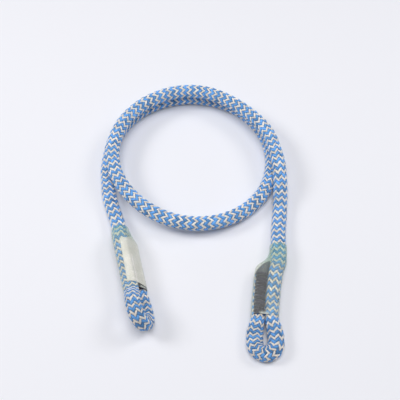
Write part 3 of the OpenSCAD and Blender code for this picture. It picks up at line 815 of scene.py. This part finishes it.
class LANYARD_OT_core(bpy.types.Operator):
    """Twist the seven strands of the core"""
    bl_idname = "lanyard.core"
    bl_label = "Core"

    def execute(self, context):
        c = context.scene.lanyard_colours
        # Its shade colour, half as bright, is painted into the grooves between its plies as painted shade
        white = once("core_yarn", yarn, c.core, [0.5 * x for x in c.core], rough=0.7, spread=0.05, edge=0.5,
                     sheen=0.2)
        bundle = (ROPE_R - SHEATH_WALL) * math.cos(math.pi / 12) - CORE_CLEAR
        radius = (bundle - STRAND_GAP) / 3
        pitch = 2 * radius + STRAND_GAP
        # Over the floor the core is pressed and lifted clear of the sheath's flattened wall
        low = SHEATH_WALL + CORE_CLEAR - REST_Z
        squash, rise = (bundle - low) / (2 * bundle), (bundle + low) / 2
        s, a = rounds(CORE_SHORT, ROUTE.length - CORE_SHORT, 420, 12)
        ply = 0.90 + 0.08 * np.cos(3 * (a - 2 * math.pi * s / CORE_LAY))
        places = ROUTE.take(ROUTE.places, s)
        flat = np.clip((ROPE_R - places[..., 2]) / FOOT, 0, 1)
        for k in range(1, 8):
            turn, out = math.radians(60 * k), 0 if k == 1 else pitch
            w = ROUTE.offset(s, out * math.cos(turn) + radius * ply * np.cos(a),
                             out * math.sin(turn) + radius * ply * np.sin(a))
            w[..., 2] = w[..., 2] * mix(1, squash, flat) + rise * flat
            points, faces = tube(places + w)
            # crown is low in the grooves between the plies, where the yarn is painted darker as shade
            piece = new_piece(f"core_yarn_{k}", points, faces, "core", [white], None, ended(s, radius * a),
                              {"crown": ended((ply - 0.82) / 0.16).ravel(), "tone": np.zeros(len(points))})
            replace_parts(piece, f"core_strand_{k}")
        return {"FINISHED"}


class LANYARD_OT_seals(bpy.types.Operator):
    """Melt the cut ends of the two tails: a skin over the last braid, then a low dome on the cut"""
    bl_idname = "lanyard.seals"
    bl_label = "Melted Ends"

    def execute(self, context):
        c = context.scene.lanyard_colours
        melted = once("melted_yarn", worn, c.melted, (0.13, 0.15, 0.19), scale=300.0, amount=0.6,
                      relief=0.0002, strength=0.7, marked=0.25, rough=0.28)
        back, high, share = np.split(MELTED * [0.001, 0.001, 1], 3, 1)
        a = turns(36)
        r = ROPE_R * share * (1 + 0.006 * np.sin(5 * a + 1 + 900 * back) + 0.004 * np.sin(11 * a))
        for side, end in SIDES:
            s = ROUTE.length * (end.side > 0) - end.side * back + 0 * a
            rings = (ROUTE.take(ROUTE.places, s) + ROUTE.offset(s, r * np.cos(a), r * np.sin(a))
                     + end.side * high[..., None] * ROUTE.take(ROUTE.tangents, s))
            rings[..., 2] = pressed(rings[..., 2])
            piece = new_piece("melted_" + side, *tube(rings), "melted_end", [melted])
            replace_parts(piece, "tail_seal_" + side)
        return {"FINISHED"}


# ---- sleeves, thread and label ----
def section_point(end, k, out, angle, share, drop=0.0):
    """Point of a sleeve's section at its whole station k, out from the strands.

    angle runs round a strand, 0 outside the main one, and share is 0 on the main strand
    and 1 on the tail strand. Stations run from the mouth up the sewn length, then up the
    neck, where the tail strand's place closes in on the rope. drop is how much further out
    it lies where it faces straight down.
    """
    ca, sa = np.cos(angle)[..., None], np.sin(angle)[..., None]
    if k <= SEWN_STEPS:
        u = np.array(-SEWN_LEN * k / SEWN_STEPS)
        w, h = end.width(u), end.height(u)
        q, m = end.across(u), end.face(u)
        main, tail = end.strand(u, 1), end.strand(u, -1)
        if k == SEWN_STEPS:
            tail = tail + CUT_DRAW * end.slant * q
    else:
        i, u = k - SEWN_STEPS - 1, np.array(-SEWN_LEN)
        p = end.neck[i]
        t = ROUTE.tangents[np.argmin(np.linalg.norm(ROUTE.places - p, axis=1))]
        q, m = square_to(end.across(u), t), square_to(end.face(u), t)
        main, tail = p, p - end.reach[i] * ROPE_D * q
        w = h = ROPE_D
    o = np.asarray(out + 0 * angle)[..., None] + drop * np.clip(-(ca * q + sa * m)[..., 2:], 0, 1) ** 2
    if end.side > 0 and k <= SEWN_STEPS:
        # Over the strand that takes back its width
        o = o + (MAIN_OUT + MAIN_RISE * k / SEWN_STEPS) * (1 - share[..., None])
    return mix(main, tail, share[..., None]) + (w / 2 + o) * ca * q + (h / 2 + o) * sa * m


def sleeve_grid(end, out, angle, share, x, drop=0.0):
    """Points out from the strands at stations x: cubic along the sleeve at each angle."""
    rows = np.stack([section_point(end, k, out, angle, share, drop)
                     for k in range(SEWN_STEPS + 1 + len(end.neck))])
    per = 24
    fine = np.stack([through(rows[:, j], per) for j in range(rows.shape[1])], 1)
    x = np.asarray(x, float) * per
    i = np.clip(x.astype(int), 0, len(fine) - 2)
    t = (x - i)[..., None]
    if x.ndim == 1:
        return mix(fine[i], fine[i + 1], t[:, None])
    j = np.arange(rows.shape[1])[None, :]
    return mix(fine[i, j], fine[i + 1, j], t)


def section(arcs, bridges):
    """Angles and shares once round a section: the main strand, across, the tail strand, back."""
    half = np.linspace(-math.pi / 2, math.pi / 2, arcs)
    over = np.arange(1, bridges + 1) / (bridges + 1)
    angle = np.concatenate([half, np.full(bridges, math.pi / 2), half + math.pi,
                            np.full(bridges, 1.5 * math.pi)])
    return angle, np.concatenate([0 * half, over, 0 * half + 1, 1 - over])


class LANYARD_OT_sleeves(bpy.types.Operator):
    """Shrink the clear sleeves over the two sewn lengths"""
    bl_idname = "lanyard.sleeves"
    bl_label = "Clear Sleeves"

    def execute(self, context):
        film = once("clear_film", worn, context.scene.lanyard_colours.film, (0.70, 0.80, 0.76), scale=90.0,
                    amount=0.5, relief=0.00025, strength=0.35, marked=0.08, rough=0.16, finish=clear)
        angle, share = section(19, 5)
        between = (share > 0) & (share < 1)
        for side, end in SIDES:
            x = np.linspace(0, SEWN_STEPS + len(end.neck), 73)
            # Close on the main strand, further out over thread and label, and on the floor
            thin = mix(*end.film, share)
            # Film draws into the groove between the strands and ripples a little
            dip = (end.groove * (1 - (2 * share - 1) ** 2) * between)[:, None]
            way = np.sign(np.sin(angle))[:, None] * end.face(np.array(0.0))
            ripple = 0.00005 * np.sin(x * 9)[:, None, None] * np.cos(3 * angle)[:, None]
            outer, inner = (sleeve_grid(end, out, angle, share, x, SLEEVE_WALL) - dip * way + ripple * way
                            for out in (thin, thin - FILM_WALL))
            outer[..., 2] = pressed(outer[..., 2], 0.00012, 0.00002)
            inner[..., 2] = np.maximum(inner[..., 2], 0.0003)
            m, n = outer.shape[:2]
            points = np.concatenate([outer.reshape(-1, 3), inner.reshape(-1, 3)])
            j = np.arange(n)
            k = (j + 1) % n
            low = np.stack([j, j + m * n, k + m * n, k], -1)
            top = np.stack([(m - 1) * n + j, (m - 1) * n + k, (2 * m - 1) * n + k, (2 * m - 1) * n + j], -1)
            faces = outward(points, [np.concatenate([
                grid_faces(m, n), grid_faces(m, n, start=m * n)[:, ::-1], low, top])])
            shrunk = np.repeat(ease((x - SEWN_STEPS + 0.5) / 2), n)
            # At its mouth, between the strands, it is hazier
            mouth_haze = np.maximum(1 - x / 0.3, 0)[:, None] * (between & (share > 0.3) & (np.sin(angle) > 0))
            piece = new_piece("film_" + side, points, faces, "clear_sleeve", [film],
                              layers={"shrunk": np.tile(shrunk, 2), "mouth_haze": np.tile(mouth_haze.ravel(), 2)})
            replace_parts(piece, "sleeve_" + side)
        return {"FINISHED"}


class LANYARD_OT_stitching(bpy.types.Operator):
    """Sew the rows of thread over the two tail strands, to and fro"""
    bl_idname = "lanyard.stitching"
    bl_label = "Stitching"

    def execute(self, context):
        c = context.scene.lanyard_colours
        thread = once("sewing_thread", yarn, c.thread, [0.25 * x for x in c.thread], rough=0.5, spread=0.25,
                      edge=0.8, sheen=0.35, filaments=9000.0, lay=9000.0, relief=0.00008)
        rng = np.random.default_rng(5)
        turn = turns(8)
        row, x = np.arange(THREAD_ROWS)[:, None], np.linspace(0, 1, THREAD_STEPS)
        for side, end in SIDES:
            def on(u, out, a):
                """Point on the tail strand at u, out from it, at the angle a in its section."""
                return (end.strand(u, -1) + ((end.width(u) / 2 + out) * np.cos(a))[:, None] * end.across(u)
                        + ((end.height(u) / 2 + out) * np.sin(a))[:, None] * end.face(u))

            most = SEWN_LEN - 0.002 - 0.4 * end.slant * SEWN_W
            pitch = (most - THREAD_FROM) / (THREAD_ROWS - 1)
            u = -THREAD_FROM - pitch * (row + 0.3 * (x - 0.5) + 0.03 * rng.standard_normal(row.shape))
            outer = mix(*THREAD_ARC, row / THREAD_ROWS) + THREAD_LOOSE * rng.standard_normal(row.shape)
            inner = THREAD_TO + THREAD_LOOSE * rng.standard_normal(row.shape)
            a = np.radians(mix(outer, inner, np.where(row % 2 == 0, x, 1 - x)))
            u, a = u.ravel(), a.ravel()
            # Where it turns back for the next row, it dips into the rope
            out = THREAD_R - 0.0003 * (np.abs(np.tile(x, THREAD_ROWS) * 2 - 1) > 0.98)
            path = on(u, out, a)
            t = unit(np.gradient(path, axis=0) + 1e-12)
            o = square_to(on(u, out + 0.001, a) - path, t)
            b = np.cross(t, o)
            rings = (path[:, None] + 0.56 * pitch * np.cos(turn)[:, None] * b[:, None]
                     + THREAD_R * np.sin(turn)[:, None] * o[:, None])
            rings[..., 2] = np.maximum(rings[..., 2], 0.0006)
            gone = running(np.linalg.norm(np.diff(path, axis=0), axis=1))[:, None]
            # Painted shade: crown makes the thread darker on its sides and on its underside against the rope
            crown = (np.sin(turn) > -0.1) * 0.6 + 0.4 * np.maximum(np.sin(turn), 0)
            tone = np.repeat(rng.standard_normal(THREAD_ROWS), THREAD_STEPS)[:, None]
            piece = new_piece("thread_" + side, *tube(rings), "thread", [thread], None, ended(gone, turn * 0.0003),
                              {"crown": ended(crown + 0 * gone).ravel(), "tone": ended(tone + 0 * turn).ravel()})
            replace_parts(piece, "stitching_" + side)
        return {"FINISHED"}


class LANYARD_OT_label(bpy.types.Operator):
    """Wrap the bare label under the left sleeve"""
    bl_idname = "lanyard.label"
    bl_label = "Label"

    def execute(self, context):
        label = once("label_film", worn, context.scene.lanyard_colours.label, (0.50, 0.50, 0.44), scale=120.0,
                     amount=0.35, relief=0.00015, strength=0.4, marked=0.2, rough=0.38)
        end = ROUTE.left
        angle, share = section(41, 9)
        turned = np.degrees(angle)
        keep = (((share == 0) & (turned >= LABEL_ARC[0])) | ((share > 0) & (share < 1) & (turned < 91))
                | ((share == 1) & (turned <= LABEL_ARC[1])))
        angle, share = angle[keep], share[keep]
        reach = np.linspace(0, 1, len(angle))
        low = (LABEL_LOW[0] + LABEL_LOW[1] * reach) * SEWN_STEPS / SEWN_LEN
        high = (LABEL_HIGH[0] + LABEL_HIGH[1] * ease(reach * 1.4 - 0.3)) * SEWN_STEPS / SEWN_LEN
        x = low[None, :] + (high - low)[None, :] * np.linspace(0, 1, 61)[:, None]
        # Towards the mouth its edge on the main strand lies further round
        round_ = (angle - math.radians(17) * (1 - reach) ** 2, angle)
        part = ((x - x.min()) / np.ptp(x))[..., None]
        rise = 0.0002 * share + 0.00035 * (1 - (2 * share - 1) ** 2) * (share > 0)
        below, above = (mix(*(sleeve_grid(end, out + rise, a, share, x) for a in round_), part)
                        for out in LABEL_OUT)
        m, n = below.shape[:2]
        points = np.concatenate([above.reshape(-1, 3), below.reshape(-1, 3)])
        rim = np.concatenate([np.arange(n - 1), np.arange(m - 1) * n + n - 1,
                              (m - 1) * n + np.arange(n - 1, 0, -1), np.arange(m - 1, 0, -1) * n])
        after = np.roll(rim, -1)
        faces = outward(points, [np.concatenate([
            grid_faces(m, n, False), grid_faces(m, n, False, m * n)[:, ::-1],
            np.stack([rim, rim + m * n, after + m * n, after], -1)])])
        piece = new_piece("label", points, faces, "label", [label])
        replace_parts(piece, "label_left")
        return {"FINISHED"}


class LANYARD_OT_stage(bpy.types.Operator):
    """Lay the plain pale floor and set the soft light"""
    bl_idname = "lanyard.stage"
    bl_label = "Stage"

    def execute(self, context):
        c = context.scene.lanyard_colours
        mesh = bpy.data.meshes.new("floor")
        mesh.from_pydata([(x, y, -0.0001) for x, y in ((-6, -6), (6, -6), (6, 6), (-6, 6))], [], [(0, 1, 2, 3)])
        floor = placed("floor", mesh)
        made, n, shader, place = material("pale_floor")
        n.feed(shader.inputs["Base Color"], n.blend(n.noise(place, 4.0, 3.0), (*c.floor, 1),
                                                    (*[x * 0.985 for x in c.floor], 1)))
        shader.inputs["Roughness"].default_value = 0.9
        shader.inputs["Specular IOR Level"].default_value = 0.1
        # Far from the lanyard, where the lamps fall off, the floor shows its plain pale colour
        away = n.add("ShaderNodeVectorMath", operation="LENGTH", in_0=place).outputs["Value"]
        away = n.add("ShaderNodeMapRange", in_0=away, in_1=FAR_FROM, in_2=FAR_TO).outputs[0]
        far = n.add("ShaderNodeEmission", in_Color=FLOOR_FAR, in_Strength=1.0)
        n.either(n.math("MULTIPLY", n.seen(), away), shader, far)
        mesh.materials.append(made)
        scene = context.scene
        scene.view_settings.view_transform = "Standard"
        scene.world = bpy.data.worlds.new("studio")
        scene.world.use_nodes = True
        w = Nodes(scene.world.node_tree)
        soft = w.tree.nodes["Background"]
        soft.inputs[0].default_value = SKY
        soft.inputs[1].default_value = SKY_STRENGTH
        pale = w.add("ShaderNodeBackground", in_Color=SKY_SEEN, in_Strength=1.0)
        w.either(w.seen(), soft, pale, "World Output")
        for name, (size, energy, place_at) in LAMPS.items():
            lamp = bpy.data.lights.new(name, "AREA")
            lamp.shape, lamp.size, lamp.energy = "DISK", size, energy
            obj = placed(name, lamp)
            obj.location = place_at
            obj.rotation_euler = (-obj.location).to_track_quat("-Z", "Y").to_euler()
        return {"FINISHED"}


STEPS = ("camera", "rope", "eyes", "core", "seals", "stitching", "label", "sleeves", "stage")


class LANYARD_PT_panel(bpy.types.Panel):
    """Sizes, colours and the steps that build the lanyard"""
    bl_label = "Sewn Rope Lanyard"
    bl_idname = "LANYARD_PT_panel"
    bl_space_type = "VIEW_3D"
    bl_region_type = "UI"
    bl_category = "Lanyard"

    def draw(self, context):
        for props in (context.scene.lanyard_sizes, context.scene.lanyard_colours):
            box = self.layout.box()
            for key in props.__annotations__:
                box.prop(props, key)
        for step in STEPS:
            self.layout.operator("lanyard." + step)


CLASSES = (LanyardSizes, LanyardColours, LANYARD_OT_camera, LANYARD_OT_rope, LANYARD_OT_eyes, LANYARD_OT_core,
           LANYARD_OT_seals, LANYARD_OT_stitching, LANYARD_OT_label, LANYARD_OT_sleeves, LANYARD_OT_stage,
           LANYARD_PT_panel)


def register():
    for c in CLASSES:
        bpy.utils.register_class(c)
    bpy.types.Scene.lanyard_sizes = bpy.props.PointerProperty(type=LanyardSizes)
    bpy.types.Scene.lanyard_colours = bpy.props.PointerProperty(type=LanyardColours)


def unregister():
    del bpy.types.Scene.lanyard_colours
    del bpy.types.Scene.lanyard_sizes
    for c in reversed(CLASSES):
        bpy.utils.unregister_class(c)


def main():
    register()
    for step in STEPS:
        getattr(bpy.ops.lanyard, step)()
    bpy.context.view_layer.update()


if __name__ == "__main__":
    main()
